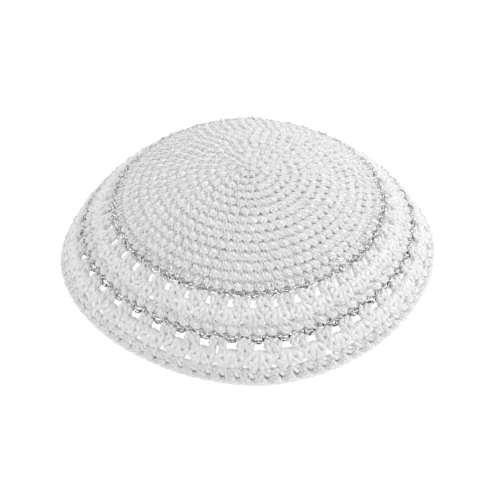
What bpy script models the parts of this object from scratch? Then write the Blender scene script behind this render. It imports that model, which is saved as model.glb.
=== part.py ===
"""A crocheted skullcap resting on its rim: a shallow dome worked in rounds. Metres, +Z up, front at -Y."""

import collections
import math

import bmesh
import bpy

# Heights of the bands, measured over the dome from the middle of the crown down to the rim
CROWN_ROUNDS = 13
ROUND_HEIGHT = 0.00475
UPPER_SILVER_HEIGHT = 0.00505
UPPER_SHELLS_HEIGHT = 0.0160
LOWER_SILVER_HEIGHT = 0.0036
LOWER_SHELLS_HEIGHT = 0.0112
RIM_HEIGHT = 0.0074

# The fabric: its thickness, the seam kept between two bands, and how far rounds stand out of grooves
WALL = 0.0026
SEAM = 0.0003
ROUND_RELIEF = 0.0008
SHELL_RELIEF = 0.0009

# The dome: its slope at the rim, and how that slope builds up with the share of the way to the rim
RIM_SLOPE = math.radians(65.6)
SLOPE_SHARES = (0.591, 0.462, -0.053)
CURVE_STEPS = 420

# The plan is a rounded diamond, because the cap is kept folded in four
PLAN_TURN = math.radians(8.2)
CORNER_PUSH = 0.00128
SIDE_PUSH = 0.00115

# The openwork: groups round the cap, and the gaps between them
GROUPS = 42
UPPER_GAP_WIDTH = 0.0034
UPPER_GAP_TURN = math.radians(1.47)
LOWER_GAP_WIDTH = 0.0042
LOWER_GAP_TURN = math.radians(2.98)

# Facets
COLUMNS = 60
CROWN_INNER_ROWS = 7
SHARP_ANGLE = math.radians(40)

COTTON = (0.86, 0.86, 0.85, 1.0)
COTTON_ROUGHNESS = 0.85
SILVER = (0.62, 0.62, 0.63, 1.0)
SILVER_ROUGHNESS = 0.35

# The creases where it was folded: where, how wide to each side, and how far they stand out at the rim
Crease = collections.namedtuple("Crease", "name turn_deg half_width_deg push")
CREASES = (
    Crease("front", 3.0, 18.0, 0.0007),
    Crease("right", 98.0, 24.0, 0.0005),
    Crease("back", 183.0, 18.0, 0.0007),
    Crease("left", 278.0, 24.0, 0.0005),
)

# Rows of points down a closed band: share of its height and share of its relief
RingRow = collections.namedtuple("RingRow", "down relief")
SILVER_ROWS = (RingRow(0.0, -0.3), RingRow(0.5, 0.5), RingRow(1.0, -0.3))
RIM_ROWS = (
    RingRow(0.0, -0.3),
    RingRow(0.3, 0.5),
    RingRow(0.55, -0.3),
    RingRow(0.8, 0.5),
    RingRow(1.0, 0.0),
)

# Rows of points down an openwork band, with the share of the gap's width, and the row where the gaps start
ShellRow = collections.namedtuple("ShellRow", "down relief gap gap_starts")
UPPER_SHELL_ROWS = (
    ShellRow(0.0, -0.3, 1.0, False),
    ShellRow(0.06, 0.2, 1.0, True),
    ShellRow(0.33, 0.1, 0.6, False),
    ShellRow(0.45, -0.4, 0.6, False),
    ShellRow(0.75, 0.6, 0.6, False),
    ShellRow(1.0, -0.3, 0.6, False),
)
LOWER_SHELL_ROWS = (
    ShellRow(0.0, -0.3, 1.0, False),
    ShellRow(0.08, 0.2, 1.0, True),
    ShellRow(0.36, 0.2, 0.7, False),
    ShellRow(0.70, 0.5, 0.7, False),
    ShellRow(1.0, -0.3, 0.7, False),
)

CROWN_HEIGHT = CROWN_ROUNDS * ROUND_HEIGHT
UPPER_SILVER_TOP = CROWN_HEIGHT
UPPER_SHELLS_TOP = UPPER_SILVER_TOP + UPPER_SILVER_HEIGHT
LOWER_SILVER_TOP = UPPER_SHELLS_TOP + UPPER_SHELLS_HEIGHT
LOWER_SHELLS_TOP = LOWER_SILVER_TOP + LOWER_SILVER_HEIGHT
RIM_TOP = LOWER_SHELLS_TOP + LOWER_SHELLS_HEIGHT
DOME_LENGTH = RIM_TOP + RIM_HEIGHT


def slope_at(share):
    """The slope of the dome, in radians, at a share of the way from the top to the rim."""
    first, second, third = SLOPE_SHARES
    return RIM_SLOPE * (first * share + second * share**2 + third * share**3)


def dome_curve():
    """(radius, drop) of the dome at equal steps of its length, from the top to the rim."""
    step = DOME_LENGTH / CURVE_STEPS
    radius = drop = 0.0
    curve = [(radius, drop)]
    for number in range(CURVE_STEPS):
        slope = slope_at((number + 0.5) / CURVE_STEPS)
        radius += step * math.cos(slope)
        drop += step * math.sin(slope)
        curve.append((radius, drop))
    return curve


CURVE = dome_curve()
RIM_RADIUS, DOME_HEIGHT = CURVE[-1]


def on_curve(length):
    """(radius, height above the floor) of the dome's outer face at a length from its top."""
    place = min(max(length / DOME_LENGTH, 0.0), 1.0) * CURVE_STEPS
    below = min(int(place), CURVE_STEPS - 1)
    part = place - below
    radius = CURVE[below][0] * (1 - part) + CURVE[below + 1][0] * part
    drop = CURVE[below][1] * (1 - part) + CURVE[below + 1][1] * part
    return radius, DOME_HEIGHT - drop


def plan_push(azimuth):
    """How far the rim stands out of a circle at an azimuth: four rounded corners and four creases."""
    turned = azimuth - PLAN_TURN
    push = CORNER_PUSH * math.cos(4 * turned) - SIDE_PUSH * math.cos(2 * turned)
    for crease in CREASES:
        apart = azimuth - math.radians(crease.turn_deg)
        apart = abs((apart + math.pi) % (2 * math.pi) - math.pi)
        near = max(0.0, 1 - apart / math.radians(crease.half_width_deg))
        push += crease.push * near**2
    return push


def cap_point(length, relief, azimuth):
    """The point at a length from the top and an azimuth from the front, standing out by the relief."""
    share = length / DOME_LENGTH
    slope = slope_at(share)
    radius, height = on_curve(length)
    radius *= 1 + share**2 * plan_push(azimuth) / RIM_RADIUS
    radius += relief * math.sin(slope)
    height += relief * math.cos(slope)
    return radius * math.sin(azimuth), -radius * math.cos(azimuth), height


def even_azimuths():
    """Evenly spaced columns, one of them on the front crease."""
    start = math.radians(CREASES[0].turn_deg)
    return [start + 2 * math.pi * column / COLUMNS for column in range(COLUMNS)]


def gap_azimuths(length, gap_width, gap_turn):
    """The two edges of each group's gap at this length: even columns are gaps, odd ones are posts."""
    half = gap_width / 2 / on_curve(length)[0]
    centres = [gap_turn + 2 * math.pi * group / GROUPS for group in range(GROUPS)]
    return [centre + side for centre in centres for side in (-half, half)]


def add_row(bm, length, relief, azimuths):
    """A closed row of points round the dome, or the one point at its top."""
    if length == 0:
        return [bm.verts.new((0, 0, DOME_HEIGHT + relief))]
    return [bm.verts.new(cap_point(length, relief, azimuth)) for azimuth in azimuths]


def add_strip(bm, first, second, leave_open=()):
    """The faces between two rows, without the columns that are left open."""
    count = max(len(first), len(second))
    for column in range(count):
        if column in leave_open:
            continue
        after = (column + 1) % count
        corners = [
            first[column % len(first)],
            second[column % len(second)],
            second[after % len(second)],
            first[after % len(first)],
        ]
        bm.faces.new(list(dict.fromkeys(corners)))


def add_gap_walls(bm, outer_rows, inner_rows, columns):
    """The four walls of each gap, from the outer face through to the inner one."""
    count = len(outer_rows[0])
    for column in columns:
        after = (column + 1) % count
        outline = ((0, column), (1, column), (1, after), (0, after))
        for (row, here), (next_row, there) in zip(outline, outline[1:] + outline[:1]):
            corners = (
                outer_rows[row][here],
                outer_rows[next_row][there],
                inner_rows[next_row][there],
                inner_rows[row][here],
            )
            bm.faces.new(corners)


def make_node(name, bm, material):
    """Closes the mesh into an object with its faces outwards and its round faces smooth."""
    bmesh.ops.recalc_face_normals(bm, faces=bm.faces)
    mesh = bpy.data.meshes.new(name)
    bm.to_mesh(mesh)
    bm.free()
    mesh.materials.append(material)
    mesh.shade_smooth()
    mesh.set_sharp_from_angle(angle=SHARP_ANGLE)
    node = bpy.data.objects.new(name, mesh)
    bpy.context.scene.collection.objects.link(node)
    return node


def band_length(top, height, down):
    """The length from the dome's top at a share of the way down a band, which ends a seam early."""
    return top + down * (height - SEAM)


def make_crown(material):
    """The closed top: a groove between rounds and a ridge along the middle of each round."""
    bm = bmesh.new()
    azimuths = even_azimuths()
    end = CROWN_HEIGHT - SEAM
    rows = [add_row(bm, 0, 0, azimuths)]
    for number in range(CROWN_ROUNDS):
        ridge = (number + 0.5) * ROUND_HEIGHT
        groove = min((number + 1) * ROUND_HEIGHT, end)
        rows.append(add_row(bm, ridge, ROUND_RELIEF / 2, azimuths))
        rows.append(add_row(bm, groove, -ROUND_RELIEF / 2, azimuths))
    for number in range(CROWN_INNER_ROWS, 0, -1):
        rows.append(add_row(bm, end * number / CROWN_INNER_ROWS, -WALL, azimuths))
    rows.append(add_row(bm, 0, -WALL, azimuths))
    for first, second in zip(rows, rows[1:]):
        add_strip(bm, first, second)
    return make_node("crown", bm, material)


def make_silver_round(name, top, height, material):
    """A closed ring of fabric with one ridge, where the silver thread runs."""
    bm = bmesh.new()
    azimuths = even_azimuths()
    rows = []
    for row in SILVER_ROWS:
        rows.append(add_row(bm, band_length(top, height, row.down), row.relief * ROUND_RELIEF, azimuths))
    rows.append(add_row(bm, band_length(top, height, 1.0), -WALL, azimuths))
    rows.append(add_row(bm, band_length(top, height, 0.0), -WALL, azimuths))
    for first, second in zip(rows, rows[1:] + rows[:1]):
        add_strip(bm, first, second)
    return make_node(name, bm, material)


def make_shell_band(name, top, height, table, gap_width, gap_turn, material):
    """A band of groups of stitches, with a gap cut right through between each two groups."""
    bm = bmesh.new()
    gaps = range(0, 2 * GROUPS, 2)
    outer = []
    inner = []
    for row in table:
        length = band_length(top, height, row.down)
        azimuths = gap_azimuths(length, gap_width * row.gap, gap_turn)
        outer.append(add_row(bm, length, row.relief * SHELL_RELIEF, azimuths))
        inner.append(add_row(bm, length, -WALL, azimuths))
    for number, row in enumerate(table[:-1]):
        for rows in (outer, inner):
            add_strip(bm, rows[number], rows[number + 1], gaps if row.gap_starts else ())
        if row.gap_starts:
            add_gap_walls(bm, outer[number : number + 2], inner[number : number + 2], gaps)
    add_strip(bm, outer[0], inner[0])
    add_strip(bm, outer[-1], inner[-1])
    return make_node(name, bm, material)


def make_rim_band(material):
    """The closed rounds at the edge, cut level at the floor so that the cap rests on a flat ring."""
    bm = bmesh.new()
    azimuths = even_azimuths()
    rows = []
    for row in RIM_ROWS:
        length = RIM_TOP + row.down * RIM_HEIGHT
        rows.append(add_row(bm, length, row.relief * ROUND_RELIEF, azimuths))
    level_length = DOME_LENGTH - WALL / math.tan(RIM_SLOPE)
    rows.append(add_row(bm, level_length, -WALL, azimuths))
    rows.append(add_row(bm, RIM_TOP, -WALL, azimuths))
    for vertex in rows[len(RIM_ROWS) - 1] + rows[len(RIM_ROWS)]:
        vertex.co.z = 0
    for first, second in zip(rows, rows[1:] + rows[:1]):
        add_strip(bm, first, second)
    return make_node("rim_band", bm, material)


def make_material(name, color, roughness, metallic):
    material = bpy.data.materials.new(name)
    material.use_nodes = True
    shader = material.node_tree.nodes["Principled BSDF"]
    shader.inputs["Base Color"].default_value = color
    shader.inputs["Roughness"].default_value = roughness
    shader.inputs["Metallic"].default_value = metallic
    return material


def clear_scene():
    for thing in list(bpy.data.objects):
        bpy.data.objects.remove(thing, do_unlink=True)


def main():
    clear_scene()
    cotton = make_material("white_cotton", COTTON, COTTON_ROUGHNESS, 0.0)
    silver = make_material("silver_thread", SILVER, SILVER_ROUGHNESS, 0.8)
    make_crown(cotton)
    make_silver_round("silver_round_upper", UPPER_SILVER_TOP, UPPER_SILVER_HEIGHT, silver)
    make_shell_band(
        "shell_band_upper",
        UPPER_SHELLS_TOP,
        UPPER_SHELLS_HEIGHT,
        UPPER_SHELL_ROWS,
        UPPER_GAP_WIDTH,
        UPPER_GAP_TURN,
        cotton,
    )
    make_silver_round("silver_round_lower", LOWER_SILVER_TOP, LOWER_SILVER_HEIGHT, silver)
    make_shell_band(
        "shell_band_lower",
        LOWER_SHELLS_TOP,
        LOWER_SHELLS_HEIGHT,
        LOWER_SHELL_ROWS,
        LOWER_GAP_WIDTH,
        LOWER_GAP_TURN,
        cotton,
    )
    make_rim_band(cotton)


main()
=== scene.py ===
# %% [markdown]
# A crocheted skullcap, stitch by stitch.
# The real cap is one long yarn, worked round and round from the middle of the crown down to the rim, with
# silver thread in two of its rounds. It has no surface other than its stitches, so a smooth dome with
# stitches painted on it would look flat at its edge and in its holes.
# This lesson models a few kinds of stitch instead, as bent strands of yarn, and sets a copy of the
# right kind at every place where the real cap has one.
# The camera, the shape of the dome and the two yarns come first. Then come the white stitches, from the
# crown down to the rim, then the silver, and the light last.

# %% Load the frame
import collections
import math

import bpy
import numpy as np
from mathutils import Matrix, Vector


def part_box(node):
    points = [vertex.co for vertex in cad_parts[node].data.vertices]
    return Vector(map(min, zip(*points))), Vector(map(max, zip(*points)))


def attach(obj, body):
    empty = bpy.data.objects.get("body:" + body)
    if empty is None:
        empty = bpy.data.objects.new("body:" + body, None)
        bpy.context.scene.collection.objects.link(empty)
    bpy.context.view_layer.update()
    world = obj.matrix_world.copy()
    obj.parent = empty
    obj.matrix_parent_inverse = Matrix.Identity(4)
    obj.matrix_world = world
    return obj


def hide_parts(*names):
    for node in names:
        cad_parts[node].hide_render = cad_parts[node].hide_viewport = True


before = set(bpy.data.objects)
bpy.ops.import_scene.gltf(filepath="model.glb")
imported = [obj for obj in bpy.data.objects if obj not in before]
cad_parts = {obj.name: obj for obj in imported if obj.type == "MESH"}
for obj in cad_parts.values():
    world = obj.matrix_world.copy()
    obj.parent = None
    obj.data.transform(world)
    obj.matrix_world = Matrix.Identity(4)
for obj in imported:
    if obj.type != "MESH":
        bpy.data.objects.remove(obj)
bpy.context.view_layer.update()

MM = 0.001
SEED = 613
rng = np.random.default_rng(SEED)

# %% [markdown]
# The camera looks down at the front of the cap. A round rim looks like an ellipse, and how flat that ellipse
# is tells how high the camera stands: here almost 43 degrees above the floor.
# It could be placed by eye, but an angle and a distance are easier to correct one at a time.
# It stands five dome lengths away with a long lens, so the near rim isn't much larger than the far one.
# A small shift of the lens moves the cap in the picture without turning the camera.

# %% Camera
DOME_LENGTH = 0.105
CAMERA_RISE = math.radians(42.73)
CAMERA_DISTANCE = 5 * DOME_LENGTH
CAMERA_LENS = 78.55
SENSOR_WIDTH = 36
CAMERA_SHIFT = (0.0027, -0.0082)

camera_place = (0, -CAMERA_DISTANCE * math.cos(CAMERA_RISE), CAMERA_DISTANCE * math.sin(CAMERA_RISE))
bpy.ops.object.camera_add(location=camera_place, rotation=(math.pi / 2 - CAMERA_RISE, 0, 0))
camera = bpy.context.object
camera.name = "camera"
camera.data.lens = CAMERA_LENS
camera.data.sensor_width = SENSOR_WIDTH
camera.data.shift_x, camera.data.shift_y = CAMERA_SHIFT
bpy.context.scene.camera = camera
print("Camera at", np.round(camera.location, 3))

# %% [markdown]
# Every stitch has to lie on the dome, so the first helper says where the dome is. The dome could be a mesh
# that stitches are snapped to, but a formula gives any place at once, and the way out of the fabric as well.
# A crocheter measures along the fabric, from the middle outwards, and the formula does so too.
# The slope grows from level at the top to 65.6 degrees at the rim. Three shares say how fast it grows, and
# small steps along it add up to the dome's curve.

# %% The dome's curve
RIM_SLOPE = math.radians(65.6)
SLOPE_SHARES = (0.591, 0.462, -0.053)
CURVE_STEPS = 420


def slope_at(share):
    first, second, third = SLOPE_SHARES
    return RIM_SLOPE * (first * share + second * share**2 + third * share**3)


curve_lengths = np.linspace(0, DOME_LENGTH, CURVE_STEPS + 1)
step_slopes = slope_at((np.arange(CURVE_STEPS) + 0.5) / CURVE_STEPS)
curve_radii = np.append(0, np.cumsum(np.cos(step_slopes))) * DOME_LENGTH / CURVE_STEPS
curve_drops = np.append(0, np.cumsum(np.sin(step_slopes))) * DOME_LENGTH / CURVE_STEPS
RIM_RADIUS, DOME_HEIGHT = curve_radii[-1], curve_drops[-1]


def radius_at(length):
    return np.interp(length, curve_lengths, curve_radii)


print("The dome is", round(DOME_HEIGHT, 4), "high and its rim's radius is", round(RIM_RADIUS, 4))

# %% [markdown]
# Seen from above the cap is nearly round, but not quite. It is kept folded in four, which leaves four soft
# corners and four creases that fade on both sides. A push out of the circle, for each azimuth, gives both.
# Azimuths are measured from the front of the cap, and the push fades towards the top of the crown.

# %% The dome's plan
PLAN_TURN = math.radians(8.2)
CORNER_PUSH = 0.00128
SIDE_PUSH = 0.00115
Crease = collections.namedtuple("Crease", "turn_deg half_width_deg push")
CREASES = (
    Crease(3.0, 18.0, 0.0007),
    Crease(98.0, 24.0, 0.0005),
    Crease(183.0, 18.0, 0.0007),
    Crease(278.0, 24.0, 0.0005),
)


def plan_push(azimuth):
    """How far the rim stands out of a circle at an azimuth."""
    turned = azimuth - PLAN_TURN
    push = CORNER_PUSH * np.cos(4 * turned) - SIDE_PUSH * np.cos(2 * turned)
    for crease in CREASES:
        apart = azimuth - math.radians(crease.turn_deg)
        apart = np.abs((apart + math.pi) % (2 * math.pi) - math.pi)
        push = push + crease.push * np.maximum(0, 1 - apart / math.radians(crease.half_width_deg)) ** 2
    return push


def on_dome(length, azimuth, out=0.0):
    """Points at lengths from the top and azimuths from the front, lifted out of the dome's outer face."""
    size, side = np.abs(length), np.sign(length)
    share = np.minimum(size / DOME_LENGTH, 1.0)
    slope = side * slope_at(share)
    radius = side * radius_at(size) * (1 + share**2 * plan_push(azimuth) / RIM_RADIUS)
    radius = radius + out * np.sin(slope)
    height = DOME_HEIGHT - np.interp(size, curve_lengths, curve_drops) + out * np.cos(slope)
    place = (radius * np.sin(azimuth), -radius * np.cos(azimuth), height)
    return np.stack(np.broadcast_arrays(*place), axis=-1)


rim_low, rim_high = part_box("rim_band")
rim_ring = on_dome(DOME_LENGTH, np.linspace(0, 2 * math.pi, 400))
print("The rim reaches from", np.round(rim_ring.min(axis=0), 4), "to", np.round(rim_ring.max(axis=0), 4))
print("Its solid reaches from", np.round(rim_low, 4), "to", np.round(rim_high, 4))

# %% [markdown]
# A strand of yarn is bent at only a few places, and a smooth line is drawn through those bends.
# Each bend gives its place across the stitch, down the cap and out of the fabric, in millimetres, and how
# thick the yarn is there: it is squeezed where it dives under another strand.
# Bezier handles could smooth the line too. This curve passes through every bend and needs no handles.

# %% A smooth line
Bend = collections.namedtuple("Bend", "across down out thick")


def smooth_line(bends, rings):
    """So many points on a smooth curve that passes through each bend."""
    bends = np.array(bends, dtype=float)
    padded = np.vstack((2 * bends[0] - bends[1], bends, 2 * bends[-1] - bends[-2]))
    place = np.linspace(0, len(bends) - 1, rings)
    first = np.minimum(place.astype(int), len(bends) - 2)
    part = (place - first)[:, None]
    before, start, end, after = (padded[first + number] for number in range(4))
    return 0.5 * (
        2 * start
        + (end - before) * part
        + (2 * before - 5 * start + 4 * end - after) * part**2
        + (3 * start - before - 3 * end + after) * part**3
    )


def mirrored(bends):
    return [Bend(-bend.across, bend.down, bend.out, bend.thick) for bend in bends]


print("A bend gives:", *Bend._fields)

# %% [markdown]
# The line becomes yarn as a path with a round bevel, which is then converted to a mesh. A cylinder could be
# bent along the line with modifiers, but a bevelled path takes its thickness from each point by itself.
# Its ends are filled and its doubles merged, so that the strand is closed, and its normals point outwards.
# The path's own UV map runs along the strand. It is stretched to count yarn thicknesses, so that the twist
# of the plies is the same on long strands and short ones.

# %% A strand
MERGE_DISTANCE = 0.001
Shape = collections.namedtuple("Shape", "points corners starts uv")


def read_shape(thing, length, yarn):
    """A mesh object's points, faces and UVs as arrays, with U in yarn thicknesses along the strand."""
    mesh = thing.data
    points = np.empty(len(mesh.vertices) * 3)
    mesh.vertices.foreach_get("co", points)
    corners = np.empty(len(mesh.loops), dtype=np.int32)
    mesh.loops.foreach_get("vertex_index", corners)
    starts = np.empty(len(mesh.polygons), dtype=np.int32)
    mesh.polygons.foreach_get("loop_start", starts)
    uv = np.empty(len(mesh.loops) * 2)
    mesh.uv_layers[0].data.foreach_get("uv", uv)
    uv = uv.reshape(-1, 2) * (length / yarn, 1.0)
    return Shape(points.reshape(-1, 3), corners, starts, uv)


def strand(bends, yarn, rings=9):
    """One closed strand of yarn through the bends, as arrays in millimetres."""
    line = smooth_line(bends, rings)
    bpy.ops.object.select_all(action="DESELECT")
    bpy.ops.curve.primitive_nurbs_path_add()
    path = bpy.context.object
    spline = path.data.splines[0]
    spline.type = "POLY"
    spline.points.add(len(line) - len(spline.points))
    for point, (across, down, out, thick) in zip(spline.points, line):
        point.co = (across, down, out, 1)
        point.radius = thick
    path.data.bevel_depth = yarn / 2
    path.data.bevel_resolution = 1
    path.data.use_fill_caps = True
    bpy.ops.object.convert(target="MESH")
    bpy.ops.object.mode_set(mode="EDIT")
    bpy.ops.mesh.select_all(action="SELECT")
    bpy.ops.mesh.remove_doubles(threshold=MERGE_DISTANCE)
    bpy.ops.mesh.normals_make_consistent(inside=False)
    bpy.ops.object.mode_set(mode="OBJECT")
    length = np.linalg.norm(np.diff(line[:, :3], axis=0), axis=1).sum()
    shape = read_shape(path, length, yarn)
    bpy.data.objects.remove(path, do_unlink=True)
    return shape


straight = strand((Bend(0, 0, 0, 1), Bend(0, 5, 0, 1)), yarn=2, rings=3)
print("A straight strand has", len(straight.points), "points and", len(straight.starts), "faces")

# %% [markdown]
# A stitch is a few strands together. It is bent with full round loops, which is easy to picture, and pressed
# flatter afterwards: a worn and washed cap has less relief than a new one. Its nominal width and height, in
# millimetres, say which part of it fills its place in a round. The rest reaches under its neighbours.

# %% A stitch from strands
PRESS_LEVEL = -1.0
Stitch = collections.namedtuple("Stitch", "shape width height")


def together(shapes):
    """Several shapes as one."""
    points, corners, starts, uv = [], [], [], []
    point_count = corner_count = 0
    for shape in shapes:
        points.append(shape.points)
        corners.append(shape.corners + point_count)
        starts.append(shape.starts + corner_count)
        uv.append(shape.uv)
        point_count += len(shape.points)
        corner_count += len(shape.corners)
    return Shape(*(np.concatenate(part) for part in (points, corners, starts, uv)))


def pressed(shape, share):
    """The shape with a share of its relief, as if it had been ironed. What lies at the press level stays."""
    points = shape.points.copy()
    points[:, 2] = PRESS_LEVEL + (points[:, 2] - PRESS_LEVEL) * share
    return shape._replace(points=points)


def make_stitch(strands, share, width, height):
    stitch = Stitch(pressed(together(strands), share), width, height)
    print("A stitch of", len(strands), "strands has", len(stitch.shape.starts), "faces")
    return stitch


# %% [markdown]
# Copies of a stitch share its faces, and only their points differ. Array modifiers or Geometry Nodes could
# set the copies too, but here each copy is bent to its place: it follows the dome, narrows towards the
# crown, and leans from the stitch that it is worked into towards its own place in the round.
# No two stitches of a real cap are quite alike, so each copy is a little wider, higher, further round or
# more slanted than the next. Those small differences are random, from one fixed seed.

# %% Copies of a stitch
LOOSE_WIDTH = 0.05
LOOSE_TURN = 0.05
LOOSE_DOWN = 0.00010
LOOSE_OUT = 0.00010
LOOSE_SLANT = 0.07


def copied_faces(shape, count):
    """Corners, starts and UVs of so many copies of a shape. The UVs of each start at a random place."""
    numbers = np.arange(count)[:, None]
    corners = shape.corners[None, :] + numbers * len(shape.points)
    starts = shape.starts[None, :] + numbers * len(shape.corners)
    shifts = np.repeat(rng.random((count, 2)), len(shape.uv), axis=0)
    return corners.ravel(), starts.ravel(), np.tile(shape.uv, (count, 1)) + shifts


def copies(stitch, top, height, azimuths, bases, width, narrowest=0.6, sink=0.0, loose=1.0):
    """A copy of the stitch for each azimuth, which it has at its foot; at its head it has its base azimuth.

    Top, height, width and sink are in metres. Narrowest is the least share of its width that a head keeps.
    """
    count = len(azimuths)
    across = stitch.shape.points[:, 0] / stitch.width
    share = stitch.shape.points[:, 1] / stitch.height
    out = stitch.shape.points[:, 2] * MM
    azimuths = azimuths + rng.normal(0, LOOSE_TURN * loose, count) * width / radius_at(top + height)
    tops = top + rng.normal(0, LOOSE_DOWN * loose, count)
    lifts = rng.normal(0, LOOSE_OUT, count) - sink
    widths = width * (1 + rng.normal(0, LOOSE_WIDTH, count))
    slants = rng.normal(0, LOOSE_SLANT, count) * height
    lengths = tops[:, None] + share[None, :] * height
    eased = np.clip(share, 0, 1)
    eased = eased * eased * (3 - 2 * eased)
    turns = bases[:, None] + (azimuths - bases)[:, None] * eased[None, :]
    spread = np.maximum(radius_at(lengths) / radius_at(top + height), narrowest)
    sideways = across[None, :] * widths[:, None] * spread + slants[:, None] * (eased[None, :] - 0.5)
    placed = on_dome(lengths, turns, out[None, :] + lifts[:, None])
    placed[..., 0] += np.cos(turns) * sideways
    placed[..., 1] += np.sin(turns) * sideways
    placed[..., 2] = np.maximum(placed[..., 2], 0)
    return Shape(placed.reshape(-1, 3), *copied_faces(stitch.shape, count))


print("Most copies are within", round(200 * LOOSE_WIDTH), "percent of their width")

# %% [markdown]
# Thousands of copies are joined into one mesh for each piece of the cap, because thousands of objects would
# slow Blender down. A piece stands for one of the solids, moves with the cap's one body, and takes the
# material of its yarn.

# %% A piece of the cap
def make_piece(name, shape, material, slot, *nodes):
    """The shape as a piece of the cap that stands for the given solids."""
    mesh = bpy.data.meshes.new(name)
    mesh.vertices.add(len(shape.points))
    mesh.vertices.foreach_set("co", shape.points.ravel())
    mesh.loops.add(len(shape.corners))
    mesh.loops.foreach_set("vertex_index", shape.corners.astype(np.int32))
    mesh.polygons.add(len(shape.starts))
    mesh.polygons.foreach_set("loop_start", shape.starts.astype(np.int32))
    mesh.uv_layers.new(name="strand").data.foreach_set("uv", shape.uv.ravel())
    mesh.update(calc_edges=True)
    mesh.validate()
    mesh.shade_smooth()
    mesh.materials.append(material)
    piece = bpy.data.objects.new(name, mesh)
    bpy.context.scene.collection.objects.link(piece)
    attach(piece, "root")
    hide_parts(*nodes)
    triangles = len(shape.corners) - 2 * len(shape.starts)
    print(name, "has", len(shape.points), "points and", triangles, "triangles")


# %% [markdown]
# Both yarns are made of shader nodes. These helpers add a node, set it and link it in one line, so that the
# materials below read like recipes. Noise reads Object coordinates, which stay with the cap as it moves.

# %% Helpers for materials
def new_material(name):
    material = bpy.data.materials.new(name)
    material.use_nodes = True
    tree = material.node_tree
    return material, tree, tree.nodes["Principled BSDF"]


def node(tree, kind, **settings):
    made = tree.nodes.new(kind)
    for key, value in settings.items():
        setattr(made, key, value)
    return made


def maths(tree, operation, first, second=None):
    """A Math node on sockets or plain numbers."""
    made = node(tree, "ShaderNodeMath", operation=operation)
    for socket, value in zip(made.inputs, (first, second)):
        if isinstance(value, bpy.types.NodeSocket):
            tree.links.new(value, socket)
        elif value is not None:
            socket.default_value = value
    return made.outputs[0]


def mixed(tree, first, first_share, second, second_share):
    """The sum of two patterns, each with its own share."""
    parts = (maths(tree, "MULTIPLY", first, first_share), maths(tree, "MULTIPLY", second, second_share))
    return maths(tree, "ADD", *parts)


def noise(tree, scale, detail, roughness=0.6):
    """Noise on Object coordinates."""
    place = node(tree, "ShaderNodeTexCoord")
    made = node(tree, "ShaderNodeTexNoise")
    made.inputs["Scale"].default_value = scale
    made.inputs["Detail"].default_value = detail
    made.inputs["Roughness"].default_value = roughness
    tree.links.new(place.outputs["Object"], made.inputs["Vector"])
    return made.outputs["Fac"]


def ramp(tree, factor, *stops):
    """A colour from a factor. Each stop is a place from 0 to 1 and the colour there."""
    made = node(tree, "ShaderNodeValToRGB")
    tree.links.new(factor, made.inputs["Fac"])
    elements = made.color_ramp.elements
    while len(elements) < len(stops):
        elements.new(0.5)
    for element, (place, color) in zip(elements, stops):
        element.position = place
        element.color = (*color, 1.0)
    return made.outputs["Color"]


def bump(tree, shader, height, strength, depth):
    made = node(tree, "ShaderNodeBump")
    made.inputs["Strength"].default_value = strength
    made.inputs["Distance"].default_value = depth
    tree.links.new(height, made.inputs["Height"])
    tree.links.new(made.outputs["Normal"], shader.inputs["Normal"])


print("The file has", len(bpy.data.materials), "materials before the yarns")

# %% [markdown]
# White mercerised cotton: three plies twisted together, and short fibres that break up the light.
# An image of yarn would be simple, but it would blur in a close view and repeat from strand to strand.
# The plies run slantwise round the strand, so they are a sine of the strand's own UV map, in which U runs
# along it and V round it. The fibres are fine noise, and coarser noise makes one stitch whiter than the next.
# The plies go into the colour as well, as painted shade in their grooves and a painted highlight on their
# crests.
# Light goes a little way into cotton and comes out beside, which subsurface gives, with a soft sheen on top.

# %% Cotton
PLIES = 3
TURNS_PER_THICKNESS = 0.25
PLY_DEPTH = 0.00032
PLY_BUMP = 0.8
FIBRE_SCALE = 1500
SHADE_SCALE = 120
YARN_GLOW = 0.0006
# Ends of the colour ramp: stitches of a different white, plus painted shade and painted highlight from the
# plies.
COTTON_DARK_TONE_AND_SHADE = (0.77, 0.77, 0.775)
COTTON_LIGHT_TONE_AND_HIGHLIGHT = (0.95, 0.95, 0.945)


def make_cotton():
    material, tree, shader = new_material("white_cotton_yarn")
    uv = node(tree, "ShaderNodeUVMap", uv_map="strand")
    split = node(tree, "ShaderNodeSeparateXYZ")
    tree.links.new(uv.outputs["UV"], split.inputs[0])
    along = maths(tree, "MULTIPLY", split.outputs["X"], math.pi * TURNS_PER_THICKNESS * PLIES)
    around = maths(tree, "MULTIPLY", split.outputs["Y"], math.pi * PLIES)
    plies = maths(tree, "ABSOLUTE", maths(tree, "SINE", maths(tree, "ADD", along, around)))
    fibres = noise(tree, FIBRE_SCALE, detail=5)
    bump(tree, shader, mixed(tree, plies, 0.7, fibres, 0.4), PLY_BUMP, PLY_DEPTH)
    tone_and_ply_shade = maths(tree, "MULTIPLY", noise(tree, SHADE_SCALE, detail=3), 0.4)
    # The plies' share of the colour is painted shade in their grooves and a painted highlight on their
    # crests.
    tone_and_ply_shade = maths(tree, "ADD", tone_and_ply_shade, mixed(tree, plies, 0.25, fibres, 0.3))
    color = ramp(tree, tone_and_ply_shade, (0.3, COTTON_DARK_TONE_AND_SHADE), (0.75, COTTON_LIGHT_TONE_AND_HIGHLIGHT))
    tree.links.new(color, shader.inputs["Base Color"])
    shader.inputs["Roughness"].default_value = 0.45
    shader.inputs["Specular IOR Level"].default_value = 0.6
    shader.inputs["Subsurface Weight"].default_value = 0.2
    shader.inputs["Subsurface Radius"].default_value = (1, 1, 1)
    shader.inputs["Subsurface Scale"].default_value = YARN_GLOW
    shader.inputs["Sheen Weight"].default_value = 0.15
    shader.inputs["Sheen Roughness"].default_value = 0.45
    return material


cotton = make_cotton()
print("Cotton has", len(cotton.node_tree.nodes), "nodes")
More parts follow.
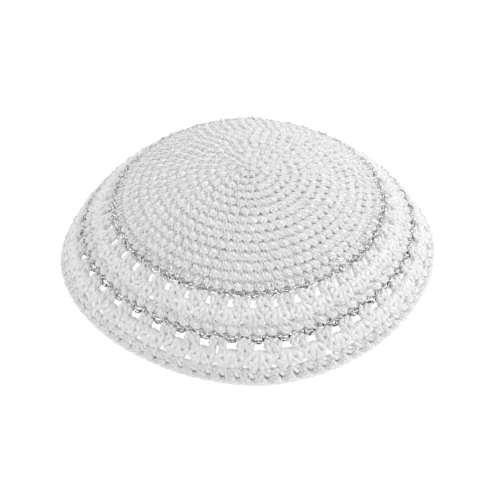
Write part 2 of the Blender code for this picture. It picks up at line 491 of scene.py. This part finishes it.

# %% [markdown]
# Silver thread is a metallised film wrapped round a thin core. It is crinkled, so of two neighbouring facets
# one catches the light and the next stays dark. Modelling the facets would take far too many faces, so one
# noise makes both their relief and their flecks, which are painted glints and painted dark reflections in the
# metal's colour. Only the steep middle of the noise is used, which gives hard edges. The loops in the lower
# gaps hang in the shade of their gaps and look darker on the real cap, so they have a second silver with
# painted shade: more dark flecks and fewer bright ones.

# %% Silver
CRINKLE_SCALE = 1200
CRINKLE_DEPTH = 0.0003
# Greys of the metal's colour: painted glints and painted dark reflections; the second set adds painted shade.
PAINTED_GLINT_FLECKS = ((0.425, 0.02), (0.45, 0.5), (0.475, 1.0))
SHADED_GLINT_FLECKS = ((0.465, 0.04), (0.515, 0.4), (0.555, 1.0))


def make_silver(name, fleck_greys):
    material, tree, shader = new_material(name)
    flecks = noise(tree, CRINKLE_SCALE, detail=3, roughness=0.7)
    # The noise paints glints and dark reflections into the metal's colour.
    color = ramp(tree, flecks, *((place, (grey, grey, grey)) for place, grey in fleck_greys))
    tree.links.new(color, shader.inputs["Base Color"])
    bump(tree, shader, flecks, 1.0, CRINKLE_DEPTH)
    shader.inputs["Metallic"].default_value = 1.0
    shader.inputs["Roughness"].default_value = 0.22
    return material


silver = make_silver("crinkled_silver_thread", PAINTED_GLINT_FLECKS)
# The silver of the loops in the lower gaps, darkened with painted shade.
shaded_silver = make_silver("shaded_silver_thread", SHADED_GLINT_FLECKS)
print("Each silver has", len(silver.node_tree.nodes), "nodes")

# %% [markdown]
# The crown is single crochet. From outside each stitch is a plump scale: strands of yarn come out from under
# the stitch above, spread, and tuck under again at their lower ends.
# A scale could be sculpted, but then the small dark holes between the strands would be lost, and they are
# what makes crochet look like crochet. So it has three legs, a loop that lies across under their ends, and
# two bars behind, which close the fabric so that no floor shows through.

# %% The single crochet stitch
YARN = 2.1
CROCHET_PRESS = 0.8
ROUND_HEIGHT = 0.004585
STITCH_WIDTH = 4.6
STITCH_HEIGHT = 4.75
LOOSE_SHARE = 1.08

left_leg = (
    Bend(-1.60, -0.3, -2.6, 0.90),
    Bend(-1.55, 0.8, -2.1, 1.0),
    Bend(-1.40, 1.9, -1.40, 1.02),
    Bend(-1.10, 2.9, -1.00, 1.02),
    Bend(-0.75, 3.7, -0.95, 0.95),
)
middle_leg = (
    Bend(-0.15, -0.3, -2.6, 0.90),
    Bend(-0.10, 0.8, -1.9, 1.0),
    Bend(0.05, 1.9, -1.0, 1.08),
    Bend(0.20, 3.0, -0.50, 1.12),
    Bend(0.20, 4.1, -0.60, 1.0),
)
right_leg = (
    Bend(1.35, -0.3, -2.6, 0.90),
    Bend(1.45, 0.8, -2.1, 1.0),
    Bend(1.55, 1.9, -1.35, 1.02),
    Bend(1.45, 2.9, -0.95, 1.02),
    Bend(1.15, 3.7, -0.90, 0.95),
)
lower_loop = (
    Bend(-2.00, 1.7, -2.2, 0.80),
    Bend(-1.75, 2.6, -1.40, 0.92),
    Bend(-1.05, 3.8, -0.90, 1.0),
    Bend(0.05, 4.65, -0.55, 1.05),
    Bend(1.10, 3.95, -0.80, 1.0),
    Bend(1.80, 2.8, -1.30, 0.92),
    Bend(2.00, 1.9, -2.2, 0.80),
)
upper_bar = (Bend(-3.0, 0.9, -2.5, 1.0), Bend(0.0, 0.6, -2.5, 1.0), Bend(3.0, 0.9, -2.5, 1.0))
lower_bar = (Bend(-3.0, 3.7, -1.9, 1.1), Bend(0.0, 3.6, -2.1, 1.1), Bend(3.0, 3.7, -1.9, 1.1))
crochet_strands = [
    strand(left_leg, YARN, rings=6),
    strand(middle_leg, YARN, rings=6),
    strand(right_leg, YARN, rings=6),
    strand(lower_loop, YARN, rings=10),
    strand(upper_bar, YARN, rings=4),
    strand(lower_bar, YARN, rings=3),
]
single_crochet = make_stitch(crochet_strands, CROCHET_PRESS, STITCH_WIDTH, STITCH_HEIGHT)
loose_crochet = single_crochet._replace(width=LOOSE_SHARE * STITCH_WIDTH)

# %% [markdown]
# The rounds of the crown have 6, 12, 18 and so on up to 78 stitches: six more in each round keep a disc flat,
# and the crocheter draws them in a little to make a dome. A real crown may be one spiral. Closed rings look
# the same and are simpler. Each round starts at another place, so the rows of stitches don't line up, and
# each stitch leans a little. The crown is made as two pieces, so that neither gets too many triangles.

# %% The crown's rounds
CROWN_ROUNDS = 13
INNER_ROUNDS = 9
INCREASE = 6
LEAN = 0.15


def round_azimuths(count, start):
    return start + 2 * math.pi * np.arange(count) / count


def closed_round(stitch, count, top, height, start, sink=0.0):
    """A round of so many copies of a stitch, which may lie a little deeper than the face of the dome."""
    azimuths = round_azimuths(count, start)
    pitch = 2 * math.pi / count
    width = pitch * radius_at(top + height)
    return copies(stitch, top, height, azimuths, azimuths - LEAN * pitch, width, sink=sink)


def crown_rounds(first, last):
    return together(
        [
            closed_round(single_crochet, INCREASE * number, (number - 1) * ROUND_HEIGHT, ROUND_HEIGHT, start)
            for number, start in enumerate(rng.random(last + 1) * math.pi)
            if number >= first
        ]
    )


inner_rounds = crown_rounds(1, INNER_ROUNDS)
outer_rounds = crown_rounds(INNER_ROUNDS + 1, CROWN_ROUNDS)
make_piece("crown_inner_rounds", inner_rounds, cotton, "white_cotton", "crown")
make_piece("crown_outer_rounds", outer_rounds, cotton, "white_cotton", "crown")

# %% [markdown]
# The openwork bands have groups of two double crochets, with a gap between groups. A double crochet is a tall
# post: it has a rounded head, two legs that cross as they wind round each other, and a wrap that lies
# slantwise over them. A thick core behind keeps light from shining through between the legs, since it is the
# gaps between the groups that are open in a real band, and not the posts.

# %% The double crochet post
POST_PRESS = 0.9
POST_WIDTH = 3.9
POST_HEIGHT = 7.0

post_head = (
    Bend(-1.00, 1.6, -1.9, 0.80),
    Bend(-0.85, 0.5, -1.1, 0.95),
    Bend(-0.05, -0.2, -0.75, 1.0),
    Bend(0.75, 0.4, -1.0, 0.95),
    Bend(1.00, 1.5, -1.9, 0.80),
)
front_leg = (
    Bend(-0.60, 0.2, -1.8, 0.85),
    Bend(-0.55, 1.4, -0.9, 1.0),
    Bend(-0.05, 3.0, -0.75, 1.08),
    Bend(0.70, 4.6, -0.8, 1.10),
    Bend(1.15, 6.0, -0.85, 1.08),
    Bend(1.25, 7.3, -1.8, 0.90),
)
back_leg = (
    Bend(0.60, 0.2, -1.8, 0.85),
    Bend(0.65, 1.4, -1.0, 1.0),
    Bend(0.40, 3.0, -1.6, 1.0),
    Bend(-0.60, 4.5, -1.3, 1.05),
    Bend(-1.15, 5.8, -0.95, 1.08),
    Bend(-1.25, 7.2, -1.8, 0.90),
)
post_wrap = (
    Bend(-1.45, 2.2, -1.9, 0.80),
    Bend(-0.95, 2.6, -0.9, 0.85),
    Bend(0.05, 3.4, -0.25, 0.90),
    Bend(0.95, 4.3, -0.8, 0.85),
    Bend(1.45, 4.7, -1.9, 0.80),
)
post_core = (Bend(0.0, 0.2, -2.6, 0.9), Bend(0.0, 3.6, -3.1, 1.1), Bend(0.0, 7.2, -2.8, 1.1))
post_strands = [
    strand(post_head, YARN, rings=8),
    strand(front_leg, YARN, rings=9),
    strand(back_leg, YARN, rings=9),
    strand(post_wrap, YARN, rings=8),
    strand(post_core, YARN, rings=4),
]
post = make_stitch(post_strands, POST_PRESS, POST_WIDTH, POST_HEIGHT)

# %% [markdown]
# The next row of double crochets is worked into the gaps, so it fans out from the bottom of each gap. One
# fan is modelled as a whole, since its strands lie over each other. Most of it is the same left and right,
# so the left strands are the right ones mirrored. The wraps slant the same way on both sides, as real ones
# do, and so they have bends of their own. The outer strands bow right out to the neighbouring fan, and a
# small hole is left where they part again below.

# %% The fans
FAN_YARN = 2.8
FAN_PRESS = 0.8
FAN_WIDTH = 10.9
FAN_HEIGHT = 7.6

fan_inner = (
    Bend(0.35, -1.0, -2.3, 0.70),
    Bend(0.50, 0.1, -1.3, 0.95),
    Bend(0.85, 1.6, -0.85, 1.08),
    Bend(1.25, 3.2, -0.80, 1.1),
    Bend(1.40, 5.0, -0.85, 1.1),
    Bend(1.30, 6.6, -0.9, 1.05),
    Bend(1.20, 7.8, -2.2, 0.85),
)
fan_outer = (
    Bend(1.30, -0.7, -2.3, 0.80),
    Bend(2.10, 0.5, -1.4, 0.98),
    Bend(3.30, 1.4, -0.9, 1.05),
    Bend(4.25, 2.3, -0.90, 1.05),
    Bend(4.50, 3.4, -1.0, 1.0),
    Bend(4.10, 4.5, -0.95, 1.0),
    Bend(3.00, 5.3, -1.0, 1.0),
    Bend(2.50, 6.2, -1.2, 1.0),
    Bend(2.40, 7.4, -2.2, 0.85),
)
fan_right_wrap = (
    Bend(0.60, 3.6, -1.9, 0.70),
    Bend(1.20, 3.9, -0.6, 0.75),
    Bend(2.40, 4.9, -0.25, 0.80),
    Bend(3.60, 6.0, -0.6, 0.75),
    Bend(4.10, 6.4, -1.9, 0.70),
)
fan_left_wrap = (
    Bend(-4.10, 3.6, -1.9, 0.70),
    Bend(-3.60, 3.9, -0.7, 0.75),
    Bend(-2.50, 4.8, -0.25, 0.80),
    Bend(-1.30, 5.9, -0.5, 0.75),
    Bend(-0.60, 6.4, -1.9, 0.70),
)
fan_middle = (
    Bend(0.0, 0.4, -1.9, 0.85),
    Bend(0.1, 3.0, -1.2, 1.0),
    Bend(-0.1, 5.5, -1.2, 1.0),
    Bend(0.0, 7.6, -2.0, 0.9),
)
fan_core = (
    Bend(1.3, 0.8, -2.2, 0.9),
    Bend(2.7, 2.4, -2.1, 1.05),
    Bend(2.5, 4.6, -2.1, 0.95),
    Bend(1.9, 7.6, -2.2, 0.95),
)
fan_strands = [
    strand(fan_inner, FAN_YARN, rings=10),
    strand(mirrored(fan_inner), FAN_YARN, rings=10),
    strand(fan_outer, FAN_YARN, rings=12),
    strand(mirrored(fan_outer), FAN_YARN, rings=12),
    strand(fan_right_wrap, FAN_YARN, rings=8),
    strand(fan_left_wrap, FAN_YARN, rings=8),
    strand(fan_middle, FAN_YARN, rings=6),
    strand(fan_core, FAN_YARN, rings=6),
    strand(mirrored(fan_core), FAN_YARN, rings=6),
]
fan = make_stitch(fan_strands, FAN_PRESS, FAN_WIDTH, FAN_HEIGHT)

# %% [markdown]
# Both openwork bands are made alike, so one small table holds what differs: where their posts and fans start,
# how high these are, where the gaps stand, and which share of the round the posts fill at their heads and
# at their feet. What they leave is the gap. Posts are worked loosely, so their copies differ more.
# All rounds below the crown have 84 stitches, which get wider towards the rim. A round of loose single
# crochet closes the upper band: the same stitch with a larger nominal width, so that each copy comes out
# narrower than its place and leaves a little room beside it.

# %% The openwork bands
STITCHES = 84
GROUPS = 42
GROUP_PITCH = 2 * math.pi / GROUPS
STITCH_PITCH = 2 * math.pi / STITCHES
POST_LOOSE = 2.2
FAN_NARROWEST = 0.8
CLOSING_TOP = 0.0785
CLOSING_HEIGHT = 0.0043
Band = collections.namedtuple("Band", "posts_top posts_height fans_top fans_height gap_turn heads feet")
UPPER_BAND = Band(0.0671, 0.0068, 0.0728, 0.0066, math.radians(1.47), 0.61, 0.86)
LOWER_BAND = Band(0.0854, 0.0074, 0.0907, 0.0070, math.radians(2.98), 0.56, 0.66)


def group_posts(band):
    """Two posts for each group, side by side between two gaps, which get narrower downwards."""
    top, height = band.posts_top, band.posts_height
    middles = band.gap_turn + GROUP_PITCH * (np.arange(GROUPS) + 0.5)
    width = band.feet / 2 * GROUP_PITCH * radius_at(top + height)
    narrowest = band.heads / band.feet
    sides = []
    for side in (-1, 1):
        heads, feet = (middles + side * share * GROUP_PITCH / 4 for share in (band.heads, band.feet))
        sides.append(copies(post, top, height, feet, heads, width, narrowest, loose=POST_LOOSE))
    return together(sides)


def fans(band):
    azimuths = band.gap_turn + GROUP_PITCH * np.arange(GROUPS)
    width = GROUP_PITCH * radius_at(band.fans_top + band.fans_height)
    return copies(fan, band.fans_top, band.fans_height, azimuths, azimuths, width, FAN_NARROWEST)


upper_posts = group_posts(UPPER_BAND)
upper_fans = fans(UPPER_BAND)
closing_start = UPPER_BAND.gap_turn + STITCH_PITCH / 2
upper_closing = closed_round(loose_crochet, STITCHES, CLOSING_TOP, CLOSING_HEIGHT, closing_start)
upper_fan_rows = together([upper_fans, upper_closing])
lower_posts = group_posts(LOWER_BAND)
lower_fans = fans(LOWER_BAND)

make_piece("shells_upper_posts", upper_posts, cotton, "white_cotton", "shell_band_upper")
make_piece("shells_upper_fans", upper_fan_rows, cotton, "white_cotton", "shell_band_upper")
make_piece("shells_lower_posts", lower_posts, cotton, "white_cotton", "shell_band_lower")

# %% [markdown]
# Near the rim the single crochets are worked tightly. Two legs stand apart at the top, and a third strand
# tucks in between them lower down, so that one small dark hole is left in each stitch. A bridge and a deep
# bar behind keep the floor from shining through it.
# The stitch that closes the lower band has neither, because there the holes between the fans stay open.

# %% The rim stitch
RIM_YARN = 2.6
RIM_PRESS = 0.75
RIM_STITCH_WIDTH = 6.4
RIM_STITCH_HEIGHT = 3.15
LEG_SPACING = 3.85

rim_leg = (
    Bend(-1.95, -0.4, -1.6, 0.95),
    Bend(-1.85, 0.7, -1.10, 1.05),
    Bend(-1.65, 1.4, -1.0, 1.08),
    Bend(-1.50, 2.1, -1.35, 0.95),
)
rim_next_leg = [Bend(bend.across + LEG_SPACING, bend.down, bend.out, bend.thick) for bend in rim_leg]
rim_tuck = (
    Bend(0.05, 1.1, -2.4, 0.85),
    Bend(0.20, 1.6, -1.4, 0.95),
    Bend(0.40, 2.2, -1.1, 1.0),
    Bend(0.50, 2.7, -1.5, 0.90),
)
rim_bridge = (Bend(1.1, -0.2, -1.9, 0.90), Bend(3.2, -0.2, -1.3, 1.0), Bend(5.3, -0.2, -1.9, 0.90))
rim_bar = (Bend(-3.8, 0.7, -3.0, 0.95), Bend(0.0, 0.8, -3.3, 0.95), Bend(3.8, 0.7, -3.0, 0.95))
rim_front = [strand(bends, RIM_YARN, rings=6) for bends in (rim_leg, rim_next_leg, rim_tuck)]
rim_behind = [strand(bends, RIM_YARN, rings=4) for bends in (rim_bridge, rim_bar)]
open_rim_stitch = make_stitch(rim_front, RIM_PRESS, RIM_STITCH_WIDTH, RIM_STITCH_HEIGHT)
rim_stitch = make_stitch(rim_front + rim_behind, RIM_PRESS, RIM_STITCH_WIDTH, RIM_STITCH_HEIGHT)

OPEN_ROUND_TOP = 0.0975
OPEN_ROUND_HEIGHT = 0.0021
open_round = closed_round(open_rim_stitch, STITCHES, OPEN_ROUND_TOP, OPEN_ROUND_HEIGHT, LOWER_BAND.gap_turn)
lower_fan_rows = together([lower_fans, open_round])
make_piece("shells_lower_fans", lower_fan_rows, cotton, "white_cotton", "shell_band_lower")

# %% [markdown]
# Some strands run right round the cap: the rolled edge of the rim, strands behind the silver rounds, and the
# silver itself. Copies of a short strand would show a seam at each end, so such a strand is one closed line.
# It follows the dome, swings down and out once for each stitch, and crinkles a little. It may also sag at
# every gap, as a loop does, and rise out of the fabric there.

# %% The line of a strand round the cap
SAG_BREADTH = 1.5
SAG_SHAPE = 0.7
CRINKLE_STEPS = 3
RING_FIELDS = "length out swing_down swing_out turn sag crinkle rise"
Ring = collections.namedtuple("Ring", RING_FIELDS, defaults=(0.0,))


def crinkles(count, size):
    """A random wander right round the cap, with a new direction every few steps."""
    knots = rng.normal(0, size, count // CRINKLE_STEPS)
    places = np.arange(count) / CRINKLE_STEPS
    return np.interp(places, np.arange(len(knots) + 1), np.append(knots, knots[0]))


def ring_line(ring, azimuths, gap_turn):
    """The strand's lengths from the top and lifts out of the dome, in metres; swings are in millimetres."""
    count = len(azimuths)
    phase = azimuths * STITCHES + ring.turn
    sag = np.clip(SAG_BREADTH * np.cos((azimuths - gap_turn) * GROUPS), 0, 1) ** SAG_SHAPE
    down = ring.swing_down * np.sin(phase) + ring.sag * sag + crinkles(count, ring.crinkle)
    out = ring.out + ring.swing_out * np.cos(phase) + ring.rise * sag + crinkles(count, ring.crinkle)
    return ring.length + MM * down, MM * out


print("A ring gives:", *Ring._fields)

# %% [markdown]
# The line gets its thickness as a tube. A bevelled curve would do that too, but the ends of a closed curve
# can meet with a twist. Here each ring of points is built from two directions that are known everywhere:
# ahead along the strand, and up out of the fabric.

# %% A strand round the cap
RING_SIDES = 6
RING_STEPS = 9


def tube_points(centre, above, yarn, sides):
    """Rings of points round a closed line. Above is the same line, lifted out of the fabric."""
    ahead = np.roll(centre, -1, axis=0) - np.roll(centre, 1, axis=0)
    ahead /= np.linalg.norm(ahead, axis=1)[:, None]
    up = above - centre
    up -= (up * ahead).sum(axis=1)[:, None] * ahead
    up /= np.linalg.norm(up, axis=1)[:, None]
    side = np.cross(ahead, up)
    angles = 2 * math.pi * np.arange(sides) / sides
    around = np.cos(angles)[None, :, None] * up[:, None, :]
    around = around + np.sin(angles)[None, :, None] * side[:, None, :]
    points = (centre[:, None, :] + around * MM * yarn / 2).reshape(-1, 3)
    points[:, 2] = np.maximum(points[:, 2], 0)
    return points


def tube_faces(count, sides, reach):
    """Corners and UVs of a closed tube. Reach is how far U runs from one ring of points to the next."""
    rows, columns = np.meshgrid(np.arange(count), np.arange(sides), indexing="ij")
    next_row, next_column = (rows + 1) % count, (columns + 1) % sides
    this_ring = (rows * sides + columns, rows * sides + next_column)
    next_ring = (next_row * sides + next_column, next_row * sides + columns)
    corners = np.stack(this_ring + next_ring, axis=-1).reshape(-1)
    u = np.stack((rows, rows, rows + 1, rows + 1), axis=-1).reshape(-1) * reach
    v = np.stack((columns, columns + 1, columns + 1, columns), axis=-1).reshape(-1) / sides
    return corners, np.stack((u, v), axis=-1)


def ring_strand(ring, yarn, gap_turn=0.0, sides=RING_SIDES, steps=RING_STEPS):
    """A closed strand that runs right round the cap, with so many steps for each stitch."""
    count = STITCHES * steps
    azimuths = 2 * math.pi * np.arange(count) / count
    lengths, outs = ring_line(ring, azimuths, gap_turn)
    centre = on_dome(lengths, azimuths, outs)
    points = tube_points(centre, on_dome(lengths, azimuths, outs + MM), yarn, sides)
    reach = 2 * math.pi * radius_at(ring.length) / (yarn * MM) / count
    corners, uv = tube_faces(count, sides, reach)
    return Shape(points, corners, np.arange(len(corners) // 4) * 4, uv)


print("A cotton strand round the cap has", STITCHES * RING_STEPS * RING_SIDES, "faces")

# %% [markdown]
# The rim: two more rounds of tight single crochet, each shifted a little against the last, and an edge of
# two strands, one outside and one inside. It could be one thick strand, but two look rolled over, as the
# last round of a real cap does. The cap rests on this edge, so points that would be under the floor are
# raised to it.

# %% The rim
EDGE_YARN = 2.4
RIM_TOPS = (0.0986, 0.1017)
RIM_ROUND = 0.00315
RIM_SHIFT = 0.15
outer_edge = Ring(DOME_LENGTH - 0.0011, -1.0, 0.12, 0.2, 0.0, 0.0, 0.05)
inner_edge = Ring(DOME_LENGTH - 0.0016, -2.4, 0.2, 0.2, 2.0, 0.0, 0.05)

rim_shapes = []
for number, top in enumerate(RIM_TOPS, start=1):
    start = LOWER_BAND.gap_turn - RIM_SHIFT * number * STITCH_PITCH
    rim_shapes.append(closed_round(rim_stitch, STITCHES, top, RIM_ROUND, start))
for ring in (outer_edge, inner_edge):
    rim_shapes.append(ring_strand(ring, EDGE_YARN))
make_piece("rim_rounds", together(rim_shapes), cotton, "white_cotton", "rim_band")

# %% [markdown]
# In the silver rounds, thin silver thread is crocheted together with the cotton, so there is white ground
# between and behind the silver. The upper silver has a whole round of single crochet under it, the
# fourteenth from the middle, with a strand behind and a chain that bridges the tops of the gaps.
# The lower silver has only a strand behind it, because the stitches of the upper band reach down to it.

# %% The ground of the silver rounds
GROUND_YARN = 2.3
CHAIN_YARN = 1.5
SILVER_TOP = CROWN_ROUNDS * ROUND_HEIGHT - 0.0002
upper_back = Ring(0.0648, -2.2, 0.2, 0.1, 0.0, 0.0, 0.1)
upper_chain = Ring(0.0668, -1.9, 0.2, 0.2, 1.2, 0.7, 0.15, 0.3)
lower_back = Ring(0.0836, -2.2, 0.2, 0.1, 0.0, 0.0, 0.1)

upper_ground = [
    closed_round(single_crochet, STITCHES, SILVER_TOP, ROUND_HEIGHT, 0.0),
    ring_strand(upper_back, GROUND_YARN),
    ring_strand(upper_chain, CHAIN_YARN, UPPER_BAND.gap_turn),
]
lower_ground = [ring_strand(lower_back, GROUND_YARN)]
make_piece("silver_upper_ground", together(upper_ground), cotton, "white_cotton", "silver_round_upper")
make_piece("silver_lower_ground", together(lower_ground), cotton, "white_cotton", "silver_round_lower")

# %% [markdown]
# Where silver thread is worked into a stitch it makes small shapes of its own. A curl peeps out of each
# stitch, a hook reaches down at each upper gap, and two thin spurs run down over each white stitch of the
# upper round. One tangled line could show all of it, but separate small strands can be moved and thinned
# one kind at a time. The hook's nominal width is two stitches, since a gap comes at every second stitch.

# %% Silver curls, hooks and spurs
SILVER_YARN = 0.55
HOOK_YARN = 0.7
SPUR_YARN = 0.32
HOOK_WIDTH = 2 * STITCH_WIDTH
SILVER_HEIGHT = 1.0

curl_bends = (
    Bend(-1.9, 0.5, -1.1, 0.8),
    Bend(-1.1, -0.7, 0.0, 1.0),
    Bend(0.1, 0.7, 0.30, 1.05),
    Bend(1.0, -0.6, 0.0, 1.0),
    Bend(1.8, 0.6, -1.1, 0.8),
)
hook_bends = (
    Bend(-2.6, -1.1, -0.9, 0.9),
    Bend(-1.9, 0.2, 0.1, 1.1),
    Bend(-1.4, 1.3, 0.0, 1.0),
    Bend(-1.0, 2.3, -1.1, 0.6),
)
left_spur = (Bend(-1.5, 1.2, -0.5, 0.8), Bend(-1.0, 2.8, 0.30, 1.0), Bend(-0.5, 4.9, -0.3, 1.0))
right_spur = (Bend(1.0, 1.6, -0.2, 0.8), Bend(0.9, 3.0, 0.35, 1.0), Bend(0.5, 5.1, -0.3, 1.0))
spur_strands = [strand(bends, SPUR_YARN, rings=5) for bends in (left_spur, right_spur)]
silver_curl = Stitch(strand(curl_bends, SILVER_YARN, rings=9), STITCH_WIDTH, SILVER_HEIGHT)
silver_hook = Stitch(strand(hook_bends, HOOK_YARN, rings=7), HOOK_WIDTH, SILVER_HEIGHT)
silver_spurs = Stitch(together(spur_strands), STITCH_WIDTH, STITCH_HEIGHT)
print("A curl has", len(silver_curl.shape.starts), "faces and a hook", len(silver_hook.shape.starts))

# %% [markdown]
# The thread itself runs round the cap twice in each silver round. Its swings are large, so it dives between
# the stitches and comes out again, and white shows through everywhere. In the lower round two more threads
# sag over every gap in a loop, and dive back under the groups between the gaps.

# %% The silver rounds
LOOP_YARN = 0.75
UPPER_CURLS_TOP = 0.0652
LOWER_CURLS_TOP = 0.0837
HOOKS_TOP = 0.0669
UPPER_CURLS_SINK = 0.55 * MM
LOWER_CURLS_SINK = 0.4 * MM
HOOKS_SINK = 0.3 * MM
THREAD_SIDES = 5
THREAD_STEPS = 12
upper_threads = (
    Ring(0.0650, -1.10, 0.9, 1.4, 0.0, 0.0, 0.50),
    Ring(0.0662, -1.10, 0.8, 1.4, 2.4, 0.6, 0.50),
)
lower_threads = (
    Ring(0.0835, -1.00, 0.6, 1.0, 0.0, 0.0, 0.35),
    Ring(0.0842, -1.00, 0.5, 0.9, 2.6, 0.5, 0.35),
)
loop_threads = (
    Ring(0.0841, -2.1, 0.1, 0.2, 2.4, 2.0, 0.06, 1.7),
    Ring(0.0835, -2.0, 0.1, 0.2, 3.4, 1.7, 0.10, 1.4),
)


def silver_rings(rings, yarn, gap_turn):
    return [ring_strand(ring, yarn, gap_turn, THREAD_SIDES, THREAD_STEPS) for ring in rings]


def silver_curls(top, sink):
    return closed_round(silver_curl, STITCHES, top, MM, rng.random(), sink)


upper_silver = silver_rings(upper_threads, SILVER_YARN, UPPER_BAND.gap_turn) + [
    silver_curls(UPPER_CURLS_TOP, UPPER_CURLS_SINK),
    closed_round(silver_hook, GROUPS, HOOKS_TOP, MM, UPPER_BAND.gap_turn, HOOKS_SINK),
    closed_round(silver_spurs, STITCHES, SILVER_TOP, ROUND_HEIGHT, 0.0),
]
lower_silver = silver_rings(lower_threads, SILVER_YARN, LOWER_BAND.gap_turn) + [
    silver_curls(LOWER_CURLS_TOP, LOWER_CURLS_SINK),
]
lower_loops = silver_rings(loop_threads, LOOP_YARN, LOWER_BAND.gap_turn)
make_piece("silver_upper_thread", together(upper_silver), silver, "silver_thread", "silver_round_upper")
make_piece("silver_lower_thread", together(lower_silver), silver, "silver_thread", "silver_round_lower")
# The loops take the silver with painted shade.
make_piece("silver_lower_loops", together(lower_loops), shaded_silver, "silver_thread", "silver_round_lower")

# %% [markdown]
# The studio is plain: a white floor, an even pale surround and two large soft lights. A white floor under a
# white cap goes grey in the cap's own shade, and the gaps would look grey with it. So the floor glows by
# itself, while its base colour is dark and hardly changes with the light.
# The key light stands to the right and a little behind, so that the rows of stitches cast small shadows
# towards the camera. A weaker light on the left keeps the stitches there from going flat.

# %% Floor and light
FLOOR_SIZE = 30
FLOOR_DROP = 0.0002
FLOOR_GREY = 0.12
SURROUND_COLOR = (1.0, 0.99, 1.0, 1)
SURROUND_STRENGTH = 0.76


def make_floor():
    bpy.ops.object.select_all(action="DESELECT")
    bpy.ops.mesh.primitive_plane_add(size=FLOOR_SIZE, location=(0, 0, -FLOOR_DROP))
    floor = bpy.context.object
    floor.name = "floor"
    material, tree, shader = new_material("white_floor")
    shader.inputs["Base Color"].default_value = (FLOOR_GREY, FLOOR_GREY, FLOOR_GREY, 1)
    shader.inputs["Roughness"].default_value = 0.9
    shader.inputs["Emission Color"].default_value = (1, 1, 1, 1)
    shader.inputs["Emission Strength"].default_value = 1.0
    floor.data.materials.append(material)


def make_light(name, location, size, power):
    """A square light that faces the middle of the cap's foot."""
    bpy.ops.object.light_add(type="AREA", location=location)
    light = bpy.context.object
    light.name = name
    light.data.size = size
    light.data.energy = power
    away = -np.array(location) / np.linalg.norm(location)
    light.rotation_euler = (math.acos(-away[2]), 0, math.atan2(away[1], away[0]) - math.pi / 2)
    return light


make_floor()
key_light = make_light("key_light", (0.77, 0.20, 0.86), 0.35, 4.4)
fill_light = make_light("fill_light", (-0.78, 0.05, 0.75), 0.6, 1.2)
surround = bpy.data.worlds.new("surround")
surround.use_nodes = True
background = surround.node_tree.nodes["Background"]
background.inputs["Color"].default_value = SURROUND_COLOR
background.inputs["Strength"].default_value = SURROUND_STRENGTH
bpy.context.scene.world = surround
bpy.context.scene.view_settings.view_transform = "Standard"
print("Two lights give", round(key_light.data.energy + fill_light.data.energy, 1), "watts")
